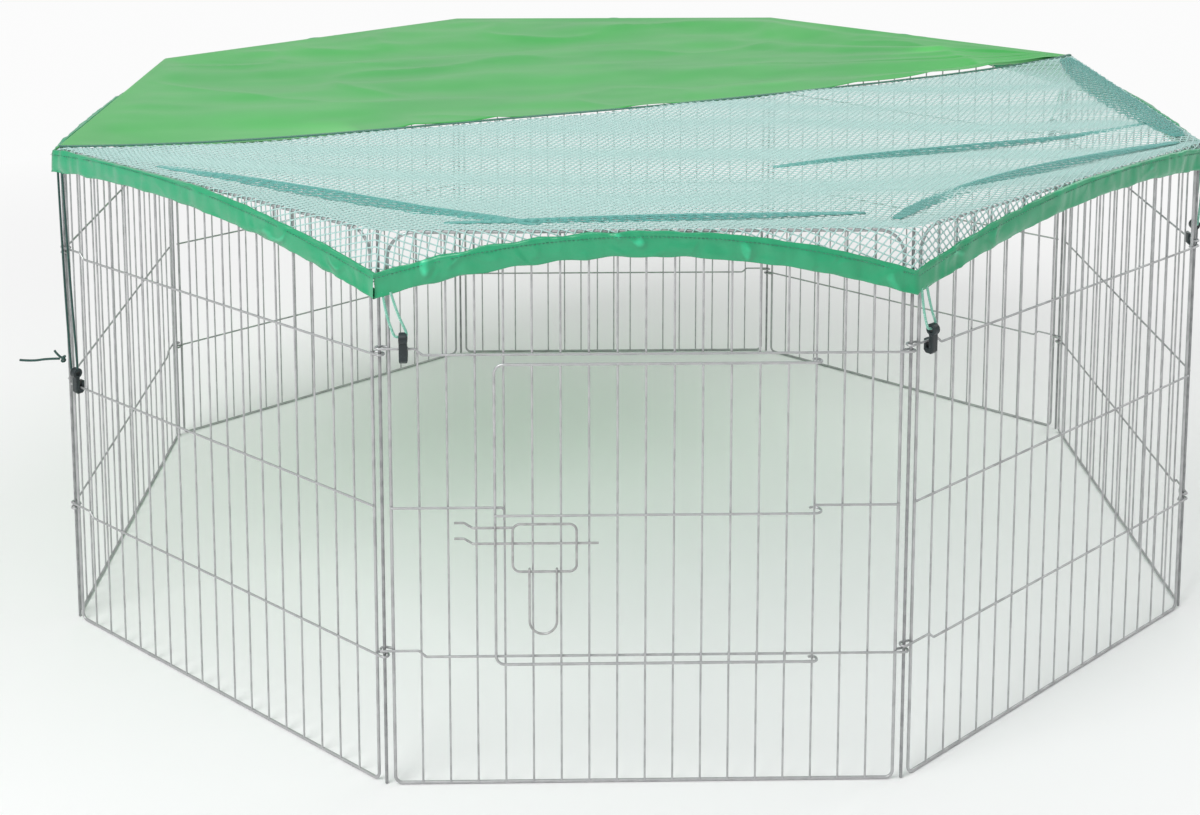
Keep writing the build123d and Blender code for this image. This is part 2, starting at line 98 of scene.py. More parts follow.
@dataclass
class NodeTree:
    """Short way to add and join nodes in a material or a group."""

    tree: bpy.types.NodeTree

    def node(self, kind: str, **settings: object) -> bpy.types.Node:
        """Add a node.

        Args:
            kind: Blender's name of the node type.
            **settings: Properties of the node, or values of its inputs by input name with _ for a space.

        Returns:
            The new node.
        """
        made = self.tree.nodes.new(kind)
        for name, value in settings.items():
            if hasattr(made, name):
                setattr(made, name, value)
            else:
                made.inputs[name.replace("_", " ")].default_value = value
        return made

    def join(self, source: bpy.types.NodeSocket, target: bpy.types.NodeSocket) -> None:
        """Link one socket to another."""
        self.tree.links.new(source, target)

    def maths(self, operation: str, first: object, second: object) -> bpy.types.NodeSocket:
        """Add a Math node.

        Args:
            operation: Blender's name of the operation.
            first: A socket or a number.
            second: A socket or a number.

        Returns:
            The result socket.
        """
        made = self.node("ShaderNodeMath", operation=operation)
        for slot, value in zip(made.inputs, (first, second)):
            if isinstance(value, bpy.types.NodeSocket):
                self.join(value, slot)
            else:
                slot.default_value = value
        return made.outputs[0]

    def noise(self, vector: bpy.types.NodeSocket, scale: float, detail: float = 2.0) -> bpy.types.NodeSocket:
        """Add a noise texture.

        Args:
            vector: The coordinates it reads.
            scale: Its scale, per metre.
            detail: How many finer layers it has.

        Returns:
            The factor, from 0 to 1.
        """
        made = self.node("ShaderNodeTexNoise", Scale=scale, Detail=detail, Roughness=0.55)
        self.join(vector, made.inputs["Vector"])
        return made.outputs["Fac"]

    def spread(self, value: bpy.types.NodeSocket, low: float, high: float) -> bpy.types.NodeSocket:
        """Stretch a value so that low becomes 0 and high becomes 1, and clamp it.

        Args:
            value: The value.
            low: What becomes 0.
            high: What becomes 1.

        Returns:
            The stretched value.
        """
        made = self.node("ShaderNodeMapRange", clamp=True)
        made.inputs["From Min"].default_value = low
        made.inputs["From Max"].default_value = high
        self.join(value, made.inputs["Value"])
        return made.outputs["Result"]

    def mix(self, share: bpy.types.NodeSocket, first: object, second: object) -> bpy.types.NodeSocket:
        """Mix two colours.

        Args:
            share: How much of the second, from 0 to 1.
            first: A colour or a socket.
            second: A colour or a socket.

        Returns:
            The mixed colour.
        """
        made = self.node("ShaderNodeMix", data_type="RGBA")
        self.join(share, made.inputs["Factor"])
        for slot, value in ((made.inputs["A"], first), (made.inputs["B"], second)):
            target = [s for s in made.inputs if s.name == slot.name and s.type == "RGBA"][0]
            if isinstance(value, bpy.types.NodeSocket):
                self.join(value, target)
            else:
                target.default_value = (*value, 1.0)
        return [s for s in made.outputs if s.type == "RGBA"][0]


def new_group(
    name: str, inputs: dict[str, tuple[str, object]], outputs: dict[str, str]
) -> bpy.types.NodeTree:
    """Make an empty shader node group.

    Args:
        name: Name of the group.
        inputs: Socket type and default by input name.
        outputs: Socket type by output name.

    Returns:
        The group, with its input and output nodes.
    """
    group = bpy.data.node_groups.new(name, "ShaderNodeTree")
    for label, (kind, default) in inputs.items():
        socket = group.interface.new_socket(label, in_out="INPUT", socket_type=kind)
        socket.default_value = default
    for label, kind in outputs.items():
        group.interface.new_socket(label, in_out="OUTPUT", socket_type=kind)
    group.nodes.new("NodeGroupInput")
    group.nodes.new("NodeGroupOutput")
    return group


def ends(group: bpy.types.NodeTree) -> tuple[bpy.types.Node, bpy.types.Node]:
    """Return a group's input and output nodes."""
    by_kind = {node.bl_idname: node for node in group.nodes}
    return by_kind["NodeGroupInput"], by_kind["NodeGroupOutput"]


def zinc_group() -> bpy.types.NodeTree:
    """Make the group for bright zinc plating: mottled grey, dull patches and fine drawing lines.

    Returns:
        The group, with outputs Colour, Roughness and Height.
    """
    group = new_group(
        "zinc_plating",
        {
            "Bright": ("NodeSocketColor", (0.6, 0.61, 0.62, 1)),
            "Dull": ("NodeSocketColor", (0.36, 0.37, 0.38, 1)),
            "Patch Scale": ("NodeSocketFloat", 60.0),
            "Smooth": ("NodeSocketFloat", 0.26),
            "Rough": ("NodeSocketFloat", 0.5),
        },
        {"Colour": "NodeSocketColor", "Roughness": "NodeSocketFloat", "Height": "NodeSocketFloat"},
    )
    source, target = ends(group)
    tree = NodeTree(group)
    place = tree.node("ShaderNodeTexCoord").outputs["Object"]
    patches = tree.node("ShaderNodeTexNoise", Detail=3.0)
    tree.join(place, patches.inputs["Vector"])
    tree.join(source.outputs["Patch Scale"], patches.inputs["Scale"])
    dull = tree.spread(patches.outputs["Fac"], 0.42, 0.62)
    grain = tree.noise(place, ZINC_GRAIN_SCALE, 3)
    speck = tree.spread(tree.noise(place, ZINC_SPECK_SCALE, 2), 0.6, 0.72)
    worn = tree.mix(dull, source.outputs["Bright"], source.outputs["Dull"])
    colour = tree.mix(tree.maths("MULTIPLY", speck, ZINC_SPECK_SHARE), worn, ZINC_SPECK_COLOUR)
    tree.join(colour, target.inputs["Colour"])
    span = tree.maths("SUBTRACT", source.outputs["Rough"], source.outputs["Smooth"])
    level = tree.maths("MULTIPLY", span, dull)
    base = tree.maths("ADD", level, source.outputs["Smooth"])
    rougher = tree.maths("MULTIPLY", grain, ZINC_GRAIN_ROUGHNESS)
    tree.join(tree.maths("ADD", base, rougher), target.inputs["Roughness"])
    tree.join(grain, target.inputs["Height"])
    return group


def weave_group() -> bpy.types.NodeTree:
    """Make the group for plain woven cloth: crossed yarns, slubs, faded patches and painted shade in the
    crease hollows.

    Returns:
        The group, with outputs Colour, Yarns and Creases.
    """
    group = new_group(
        "plain_weave",
        {
            "Light": ("NodeSocketColor", (0.2, 0.6, 0.25, 1)),
            "Dark": ("NodeSocketColor", (0.1, 0.45, 0.16, 1)),
            # Painted shade: this dark colour is what the crease hollows are darkened towards, by the crease
            # share below.
            "Painted Shade Colour": ("NodeSocketColor", (0.03, 0.2, 0.08, 1)),
            "Yarn Scale": ("NodeSocketFloat", 1100.0),
            "Patch Scale": ("NodeSocketFloat", 5.0),
            "Crease Scale": ("NodeSocketFloat", 14.0),
            "Painted Crease Shade": ("NodeSocketFloat", 0.2),
        },
        {"Colour": "NodeSocketColor", "Yarns": "NodeSocketFloat", "Creases": "NodeSocketFloat"},
    )
    source, target = ends(group)
    tree = NodeTree(group)
    place = tree.node("ShaderNodeTexCoord").outputs["Object"]
    bands = []
    for axis in ("X", "Y", "Z"):
        yarn = tree.node("ShaderNodeTexWave", bands_direction=axis, Distortion=0.6, Detail=1.0)
        tree.join(place, yarn.inputs["Vector"])
        tree.join(source.outputs["Yarn Scale"], yarn.inputs["Scale"])
        bands.append(yarn.outputs["Fac"])
    crossed = tree.maths("MAXIMUM", tree.maths("MAXIMUM", bands[0], bands[1]), bands[2])
    patches = tree.node("ShaderNodeTexNoise", Detail=4.0, Roughness=0.6)
    tree.join(place, patches.inputs["Vector"])
    tree.join(source.outputs["Patch Scale"], patches.inputs["Scale"])
    faded = tree.spread(patches.outputs["Fac"], 0.36, 0.64)
    slubs = tree.spread(tree.noise(place, CLOTH_SLUB_SCALE, 2), 0.5, 0.75)
    cloth = tree.mix(faded, source.outputs["Dark"], source.outputs["Light"])
    slubbed_cloth = tree.mix(tree.maths("MULTIPLY", slubs, CLOTH_SLUB_SHARE), cloth, source.outputs["Dark"])
    tree.join(crossed, target.inputs["Yarns"])
    creases = tree.node("ShaderNodeTexNoise", Detail=5.0, Roughness=0.5, Distortion=1.2)
    creases.noise_type = "RIDGED_MULTIFRACTAL"
    tree.join(place, creases.inputs["Vector"])
    tree.join(source.outputs["Crease Scale"], creases.inputs["Scale"])
    tree.join(creases.outputs["Fac"], target.inputs["Creases"])
    # Painted shade: in the hollows between crease ridges the cloth's colour is pulled towards the dark shade
    # colour.
    painted_shade_mask = tree.spread(creases.outputs["Fac"], 0.75, 0.3)
    shade = tree.maths("MULTIPLY", painted_shade_mask, source.outputs["Painted Crease Shade"])
    tree.join(tree.mix(shade, slubbed_cloth, source.outputs["Painted Shade Colour"]), target.inputs["Colour"])
    return group


def braid_group() -> bpy.types.NodeTree:
    """Make the group for braided cord: slanting strands with a lighter fleck.

    Returns:
        The group, with outputs Colour and Height.
    """
    group = new_group(
        "braid",
        {
            "Yarn": ("NodeSocketColor", (0.3, 0.7, 0.5, 1)),
            "Fleck": ("NodeSocketColor", (0.6, 0.85, 0.75, 1)),
            "Braid Scale": ("NodeSocketFloat", 900.0),
        },
        {"Colour": "NodeSocketColor", "Height": "NodeSocketFloat"},
    )
    source, target = ends(group)
    tree = NodeTree(group)
    place = tree.node("ShaderNodeTexCoord").outputs["Object"]
    strands = tree.node("ShaderNodeTexWave", bands_direction="DIAGONAL", Distortion=1.5, Detail=1.0)
    tree.join(place, strands.inputs["Vector"])
    tree.join(source.outputs["Braid Scale"], strands.inputs["Scale"])
    fleck = tree.spread(tree.noise(place, CORD_FLECK_SCALE, 1), 0.55, 0.7)
    tree.join(tree.mix(fleck, source.outputs["Yarn"], source.outputs["Fleck"]), target.inputs["Colour"])
    tree.join(strands.outputs["Fac"], target.inputs["Height"])
    return group


class Groups:
    """The shared shader node groups, each made once."""

    _made: dict[str, bpy.types.NodeTree] = {}

    @classmethod
    def get(cls, maker: Callable[[], bpy.types.NodeTree]) -> bpy.types.NodeTree:
        """Return the group that a function makes, making it at the first call.

        Args:
            maker: One of the functions that make a group.

        Returns:
            The group.
        """
        if maker.__name__ not in cls._made:
            cls._made[maker.__name__] = maker()
        return cls._made[maker.__name__]


# Finishes


@dataclass
class Surface:
    """A material under construction: its tree, its Principled shader and one shared group node."""

    name: str
    maker: Callable[[], bpy.types.NodeTree]
    values: dict[str, object]
    material: bpy.types.Material = field(init=False)
    tree: NodeTree = field(init=False)
    shader: bpy.types.Node = field(init=False)
    group: bpy.types.Node = field(init=False)

    def __post_init__(self) -> None:
        """Make the material and set the group's inputs."""
        self.material = bpy.data.materials.new(self.name)
        self.material.use_nodes = True
        self.tree = NodeTree(self.material.node_tree)
        self.shader = self.material.node_tree.nodes["Principled BSDF"]
        self.group = self.tree.node("ShaderNodeGroup")
        self.group.node_tree = Groups.get(self.maker)
        for label, value in self.values.items():
            self.group.inputs[label].default_value = (*value, 1.0) if isinstance(value, tuple) else value

    def bump(self, layers: Sequence[tuple[str, float, float]]) -> None:
        """Join outputs of the group to the shader's normal through Bump nodes.

        Args:
            layers: Output name, strength and height in metres of each layer.
        """
        previous = None
        for label, strength, height in layers:
            made = self.tree.node("ShaderNodeBump", Strength=strength, Distance=height)
            self.tree.join(self.group.outputs[label], made.inputs["Height"])
            if previous is not None:
                self.tree.join(previous.outputs["Normal"], made.inputs["Normal"])
            previous = made
        self.tree.join(previous.outputs["Normal"], self.shader.inputs["Normal"])


@dataclass(frozen=True)
class ZincFinish:
    """Zinc-plated steel wire."""

    name: str
    bright: Colour
    dull: Colour
    patch_scale: float = 60.0
    smooth: float = 0.28
    rough: float = 0.5

    def material(self) -> bpy.types.Material:
        """Build the material."""
        values = {
            "Bright": self.bright,
            "Dull": self.dull,
            "Patch Scale": self.patch_scale,
            "Smooth": self.smooth,
            "Rough": self.rough,
        }
        surface = Surface(self.name, zinc_group, values)
        surface.tree.join(surface.group.outputs["Colour"], surface.shader.inputs["Base Color"])
        surface.tree.join(surface.group.outputs["Roughness"], surface.shader.inputs["Roughness"])
        surface.shader.inputs["Metallic"].default_value = 0.6
        surface.bump([("Height", 0.25, 0.0001)])
        return surface.material


@dataclass(frozen=True)
class ClothFinish:
    """Thin woven cloth."""

    name: str
    light: Colour
    dark: Colour
    # Dark colour of the painted shade in the crease hollows.
    deep: Colour
    roughness: float
    sheen: float
    coat: float
    crease_height: float
    crease_scale: float = 14.0
    patch_scale: float = 5.0
    # Share of the painted shade that darkens the crease hollows.
    painted_crease_shade: float = 0.2

    def material(self) -> bpy.types.Material:
        """Build the material."""
        values = {
            "Light": self.light,
            "Dark": self.dark,
            "Painted Shade Colour": self.deep,
            "Crease Scale": self.crease_scale,
            "Painted Crease Shade": self.painted_crease_shade,
            "Patch Scale": self.patch_scale,
        }
        surface = Surface(self.name, weave_group, values)
        surface.tree.join(surface.group.outputs["Colour"], surface.shader.inputs["Base Color"])
        surface.shader.inputs["Roughness"].default_value = self.roughness
        surface.shader.inputs["Sheen Weight"].default_value = self.sheen
        surface.shader.inputs["Coat Weight"].default_value = self.coat
        surface.shader.inputs["Coat Roughness"].default_value = 0.35
        surface.bump([("Yarns", 0.2, 0.0001), ("Creases", 0.6, self.crease_height)])
        return surface.material


@dataclass(frozen=True)
class CordFinish:
    """Braided or knotted yarn."""

    name: str
    yarn: Colour
    fleck: Colour
    braid_scale: float = 900.0

    def material(self) -> bpy.types.Material:
        """Build the material."""
        values = {"Yarn": self.yarn, "Fleck": self.fleck, "Braid Scale": self.braid_scale}
        surface = Surface(self.name, braid_group, values)
        surface.tree.join(surface.group.outputs["Colour"], surface.shader.inputs["Base Color"])
        surface.shader.inputs["Roughness"].default_value = 0.6
        surface.shader.inputs["Sheen Weight"].default_value = 0.3
        surface.bump([("Height", 0.6, 0.0003)])
        return surface.material


@dataclass(frozen=True)
class PlasticFinish:
    """Moulded plastic with a fine spark-eroded grain."""

    name: str
    colour: Colour

    def material(self) -> bpy.types.Material:
        """Build the material."""
        values = {
            "Bright": self.colour,
            "Dull": tuple(1.6 * part for part in self.colour),
            "Patch Scale": 90.0,
            "Smooth": 0.32,
            "Rough": 0.46,
        }
        surface = Surface(self.name, zinc_group, values)
        surface.tree.join(surface.group.outputs["Colour"], surface.shader.inputs["Base Color"])
        surface.tree.join(surface.group.outputs["Roughness"], surface.shader.inputs["Roughness"])
        surface.bump([("Height", 0.35, 0.0002)])
        return surface.material


@dataclass
class Finishes:
    """Every material of the run, built once."""

    panel_wire: bpy.types.Material = field(
        default_factory=ZincFinish("panel_wire_zinc", (0.5, 0.505, 0.51), (0.43, 0.435, 0.44)).material
    )
    rod: bpy.types.Material = field(
        default_factory=ZincFinish("hinge_rod_zinc", (0.36, 0.365, 0.37), (0.29, 0.295, 0.3), 80.0).material
    )
    door_wire: bpy.types.Material = field(
        default_factory=ZincFinish("door_wire_zinc", (0.52, 0.525, 0.53), (0.45, 0.455, 0.46)).material
    )
    latch_wire: bpy.types.Material = field(
        default_factory=ZincFinish("latch_zinc", (0.48, 0.48, 0.48), (0.38, 0.38, 0.38), 110.0).material
    )
    hook: bpy.types.Material = field(
        default_factory=PlasticFinish("hook_plastic", (0.012, 0.02, 0.022)).material
    )
    shade: bpy.types.Material = field(
        default_factory=ClothFinish(
            # Painted shade: the third colour and the last number darken the crease hollows.
            "shade_taffeta", (0.12, 0.68, 0.14), (0.07, 0.54, 0.1), (0.02, 0.32, 0.06),
            0.38, 0.08, 0.25, 0.012, 4.0, 4.0, 0.6,
        ).material
    )
    hem: bpy.types.Material = field(
        default_factory=ClothFinish(
            # Painted shade: the third colour and the last number darken the crease hollows.
            "hem_taffeta", (0.06, 0.86, 0.46), (0.01, 0.62, 0.29), (0.0, 0.3, 0.12),
            0.26, 0.1, 0.6, 0.009, 26.0, 40.0, 0.9,
        ).material
    )
    net: bpy.types.Material = field(
        default_factory=CordFinish("net_twine", (0.5, 0.76, 0.72), (0.66, 0.87, 0.84), 1200.0).material
    )
    bunch: bpy.types.Material = field(
        default_factory=CordFinish("bunched_twine", (0.1, 0.45, 0.4), (0.26, 0.62, 0.56), 1200.0).material
    )
    seam: bpy.types.Material = field(
        default_factory=CordFinish("seam_tape", (0.01, 0.16, 0.1), (0.03, 0.28, 0.2), 1200.0).material
    )
    loop_cord: bpy.types.Material = field(
        default_factory=CordFinish("loop_cord", (0.22, 0.6, 0.45), (0.5, 0.82, 0.7)).material
    )
    dark_cord: bpy.types.Material = field(
        default_factory=CordFinish("dark_cord", (0.008, 0.06, 0.05), (0.03, 0.14, 0.11)).material
    )


# Geometry


def corner_points() -> list[Vector]:
    """Return the ring's corners on the floor, from the front left one, as the hinge rods stand."""
    found = []
    for name in PANEL_NAMES:
        low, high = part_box(f"{name}_hinge_rod")
        middle = (low + high) / 2
        found.append(Vector((middle.x, middle.y, 0.0)))
    return found


def smooth_step(value: float) -> float:
    """Ease a value between 0 and 1."""
    held = min(1.0, max(0.0, value))
    return held * held * (3 - 2 * held)


def new_piece(name: str, mesh: bpy.types.Mesh, material: bpy.types.Material) -> bpy.types.Object:
    """Put a mesh in the scene as a smooth-shaded piece.

    Args:
        name: Name of the piece.
        mesh: Its mesh.
        material: Its material.

    Returns:
        The new object.
    """
    mesh.name = name
    made = bpy.data.objects.new(name, mesh)
    bpy.context.scene.collection.objects.link(made)
    made.data.materials.append(material)
    for face in made.data.polygons:
        face.use_smooth = True
    return made


def tube_mesh(lines: Iterable[Sequence[Vector]], radius: float, sides: int) -> bpy.types.Mesh:
    """Make one mesh of many thin tubes.

    Args:
        lines: The centreline of each tube.
        radius: Radius of the tubes.
        sides: Corners of their section.

    Returns:
        The mesh.
    """
    vertices: list[Vector] = []
    faces: list[tuple[int, ...]] = []
    for line in lines:
        first = len(vertices)
        side = Vector((0, 0, 1))
        for index, point in enumerate(line):
            ahead = line[min(index + 1, len(line) - 1)] - line[max(index - 1, 0)]
            along = ahead.normalized()
            if abs(along.dot(side)) > 0.95:
                side = along.orthogonal().normalized()
            side = (side - along * along.dot(side)).normalized()
            other = along.cross(side)
            for step in range(sides):
                angle = math.tau * step / sides
                vertices.append(point + (side * math.cos(angle) + other * math.sin(angle)) * radius)
        for ring in range(len(line) - 1):
            for step in range(sides):
                near = first + ring * sides
                far = near + sides
                after = (step + 1) % sides
                faces.append((near + step, near + after, far + after, far + step))
        faces.append(tuple(first + step for step in reversed(range(sides))))
        last = first + (len(line) - 1) * sides
        faces.append(tuple(last + step for step in range(sides)))
    mesh = bpy.data.meshes.new("tubes")
    mesh.from_pydata(vertices, [], faces)
    return mesh


def grid_mesh(rows: Sequence[Sequence[Vector]]) -> bpy.types.Mesh:
    """Make a mesh of quads from rows of points.

    Args:
        rows: The points, every row as long as the others.

    Returns:
        The mesh, with doubled points merged.
    """
    width = len(rows[0])
    vertices = [point for row in rows for point in row]
    faces = []
    for row in range(len(rows) - 1):
        for column in range(width - 1):
            after = column + 1
            here = row * width
            faces.append((here + column, here + after, here + width + after, here + width + column))
    mesh = bpy.data.meshes.new("grid")
    mesh.from_pydata(vertices, [], faces)
    form = bmesh.new()
    form.from_mesh(mesh)
    bmesh.ops.remove_doubles(form, verts=form.verts, dist=0.00002)
    bmesh.ops.dissolve_degenerate(form, edges=form.edges, dist=0.00001)
    bmesh.ops.recalc_face_normals(form, faces=form.faces)
    form.to_mesh(mesh)
    form.free()
    return mesh


@dataclass
class CoverShape:
    """Where the cover lies: a flat pattern that folds over the rails and hangs down to the hem."""

    top: float = 0.6310
    rail_reach: float = 0.0020
    fold_radius: float = 0.0034
    sag: float = 0.021
    hem_depth: float = 0.028
    hem_inner: float = 0.0056
    hem_thickness: float = 0.0054
    tuck: float = 0.016
    middle_foot: float = 0.6023
    corner_drops: tuple[float, ...] = (0.072, 0.072, 0.034, 0.055, 0.055, 0.055, 0.055, 0.03)
    rail_height: float = 0.630
    sag_reach: float = 0.16
    corners: list[Vector] = field(default_factory=corner_points)

    def along(self, index: int) -> Vector:
        """Return the direction of a panel, from its left corner to its right one."""
        return (self.corners[(index + 1) % 8] - self.corners[index]).normalized()

    def outwards(self, index: int) -> Vector:
        """Return the direction out of the ring at a panel."""
        direction = self.along(index)
        return Vector((direction.y, -direction.x, 0))

    def width(self, index: int) -> float:
        """Return a panel's width between its hinge lines."""
        return (self.corners[(index + 1) % 8] - self.corners[index]).length

    def mitre(self, index: int) -> float:
        """Return the tangent of half the turn at a corner."""
        before = self.along((index - 1) % 8)
        return math.tan(before.angle(self.along(index)) / 2)

    def outline_corner(self, index: int, out: float) -> Vector:
        """Return a corner of the ring's outline, moved outwards.

        Args:
            index: Number of the corner.
            out: How far outside the hinge lines.

        Returns:
            The point, on the floor.
        """
        here = self.corners[index % 8]
        return here + (self.outwards(index % 8) - self.along(index % 8) * self.mitre(index % 8)) * out

    def foot(self, index: int, place: float) -> float:
        """Return the height of the hem's foot on a panel.

        Args:
            index: Number of the panel.
            place: Distance from its left corner.

        Returns:
            The height above the floor.
        """
        share = min(1.0, max(0.0, place / self.width(index)))
        left = self.rail_height - self.corner_drops[index]
        right = self.rail_height - self.corner_drops[(index + 1) % 8]
        base = left + (right - left) * share
        rise = self.middle_foot - (left + right) / 2
        return base + rise * 4 * share * (1 - share)

    def on_panel(self, index: int, place: float, out: float, height: float) -> Vector:
        """Return a point beside a panel, squeezed in at the corners so that neighbours meet.

        Args:
            index: Number of the panel.
            place: Distance from its left corner, in the pattern.
            out: Distance outside the hinge lines.
            height: Height above the floor.

        Returns:
            The point.
        """
        width = self.width(index)
        left = out * self.mitre(index)
        right = out * self.mitre((index + 1) % 8)
        share = place / width
        squeezed = -left + share * (width + left + right)
        point = self.corners[index] + self.along(index) * squeezed + self.outwards(index) * out
        return Vector((point.x, point.y, height))

    def nearest_panel(self, point: Vector) -> tuple[int, float, float]:
        """Find the panel that a point of the pattern lies furthest out past, or nearest to.

        Args:
            point: The point, on the flat pattern.

        Returns:
            The panel's number, the distance outside its rail, and the place along it.
        """
        best = (0, -10.0, 0.0)
        for index in range(8):
            offset = point - self.corners[index]
            out = offset.dot(self.outwards(index)) - self.rail_reach
            if out > best[1]:
                best = (index, out, offset.dot(self.along(index)))
        return best

    def sagged(self, point: Vector, inside: float) -> float:
        """Return the height of the cover's top at a point.

        Args:
            point: The point, on the flat pattern.
            inside: How far it is inside the rails.

        Returns:
            The height above the floor.
        """
        reach = max(1e-6, inside)
        bowl = 1 - math.exp(-reach / self.sag_reach)
        wander = 0.5 + 0.5 * noise.noise(Vector((point.x * 2.1, point.y * 2.1, 4.2)))
        return self.top - self.sag * bowl * (0.75 + 0.4 * wander)

    def fold(self, point: Vector) -> Vector:
        """Carry a point of the flat pattern to where it lies on the ring.

        Args:
            point: The point, on the flat pattern.

        Returns:
            The point in the frame.
        """
        index, out, place = self.nearest_panel(point)
        if out <= 0:
            return Vector((point.x, point.y, self.sagged(point, -out)))
        turn = self.fold_radius * math.pi / 2
        if out < turn:
            angle = out / self.fold_radius
            reach = self.rail_reach + self.fold_radius * math.sin(angle)
            height = self.top - self.fold_radius * (1 - math.cos(angle))
        else:
            reach = self.rail_reach + self.fold_radius
            height = self.top - self.fold_radius - (out - turn)
        spread = self.rail_reach + out
        left = spread * self.mitre(index)
        right = spread * self.mitre((index + 1) % 8)
        share = (place + left) / (self.width(index) + left + right)
        return self.on_panel(index, share * self.width(index), reach, height)

    def drop(self, index: int, place: float) -> float:
        """Return how far the pattern reaches past the rail, to end inside the hem.

        Args:
            index: Number of the panel.
            place: Distance from its left corner.

        Returns:
            The distance along the cloth.
        """
        turn = self.fold_radius * math.pi / 2
        end = self.foot(index, place) + self.hem_depth - self.tuck
        return turn + max(0.0, self.top - self.fold_radius - end)


@dataclass
class ClothPattern:
    """One half of the cover, as a flat pattern between the seam and the hem."""

    shape: CoverShape
    half: ClothHalf
    columns: int = 72
    rows: int = 84
    hanging_rows: int = 14
    outline_steps: int = 24

    @property
    def panels(self) -> list[int]:
        """The panels that this half lies over, in order."""
        return [(self.half.value + step) % 8 for step in range(4)]

    def border(self, index: int, share: float, past: float) -> Vector:
        """Return a point of the pattern at or past a panel's rail.

        Args:
            index: Number of the panel.
            share: Place along the panel, from 0 to 1.
            past: Share of the hanging part, 0 at the rail and 1 inside the hem.

        Returns:
            The point, on the flat pattern.
        """
        place = share * self.shape.width(index)
        out = self.shape.rail_reach + past * self.shape.drop(index, place)
        left = self.shape.outline_corner(index, out)
        right = self.shape.outline_corner(index + 1, out)
        return left.lerp(right, share)

    def seam(self, share: float) -> Vector:
        """Return a point of the seam, from this half's first corner to its last one."""
        start = self.shape.outline_corner(self.half.value, self.shape.rail_reach)
        end = self.shape.outline_corner(self.half.value + 4, self.shape.rail_reach)
        return start.lerp(end, share)

    def flat_rows(self) -> list[list[Vector]]:
        """Return the pattern's points, one row for each line from the seam to the hem."""
        found = []
        total = 4 * self.columns
        for number in range(total + 1):
            step = min(number // self.columns, 3)
            share = number / self.columns - step
            index = self.panels[step]
            root = self.seam(number / total)
            rail = self.border(index, share, 0.0)
            inner = [root.lerp(rail, row / self.rows) for row in range(self.rows)]
            hanging = range(self.hanging_rows + 1)
            outer = [self.border(index, share, row / self.hanging_rows) for row in hanging]
            found.append(inner + outer)
        return found

    def flat_area(self) -> float:
        """Return the area of the flat pattern, in square metres."""
        outline = [self.seam(1.0), self.seam(0.0)]
        for index in self.panels:
            steps = range(self.outline_steps + 1)
            outline += [self.border(index, step / self.outline_steps, 1.0) for step in steps]
        total = 0.0
        for first, second in zip(outline, outline[1:] + outline[:1]):
            total += first.x * second.y - second.x * first.y
        return abs(total) / 2

    def flat_size(self) -> tuple[float, float]:
        """Return the length along the seam and the depth of the cut."""
        along = (self.seam(1.0) - self.seam(0.0)).normalized()
        across = Vector((-along.y, along.x, 0))
        points = [point for row in self.flat_rows()[:: self.outline_steps] for point in row]
        ends_along = [along.dot(point) for point in points]
        ends_across = [across.dot(point) for point in points]
        return max(ends_along) - min(ends_along), max(ends_across) - min(ends_across)


# Sub-assemblies


@dataclass
class Wirework:
    """The panels, door, latch and hooks: modelled nodes that get their finishes here."""

    finishes: Finishes

    def dress(self, nodes: dict[str, bpy.types.Object]) -> None:
        """Give each wire and hook its finish.

        Args:
            nodes: The model's nodes by name.
        """
        endings = {
            "_frame": self.finishes.panel_wire,
            "_bars": self.finishes.panel_wire,
            "_cross_wires": self.finishes.panel_wire,
            "_hinge_rod": self.finishes.rod,
            "_cover_hook": self.finishes.hook,
        }
        for name, node in nodes.items():
            if name.startswith("door_"):
                self.paint(node, self.finishes.door_wire)
                continue
            if name.startswith("latch_"):
                self.paint(node, self.finishes.latch_wire)
                continue
            for ending, material in endings.items():
                if name.endswith(ending):
                    self.paint(node, material)

    @staticmethod
    def paint(node: bpy.types.Object, material: bpy.types.Material) -> None:
        """Put a material in a node's slots."""
        for slot in node.material_slots:
            slot.material = material
        LOG.info("finish %s: %s", node.name, material.name)


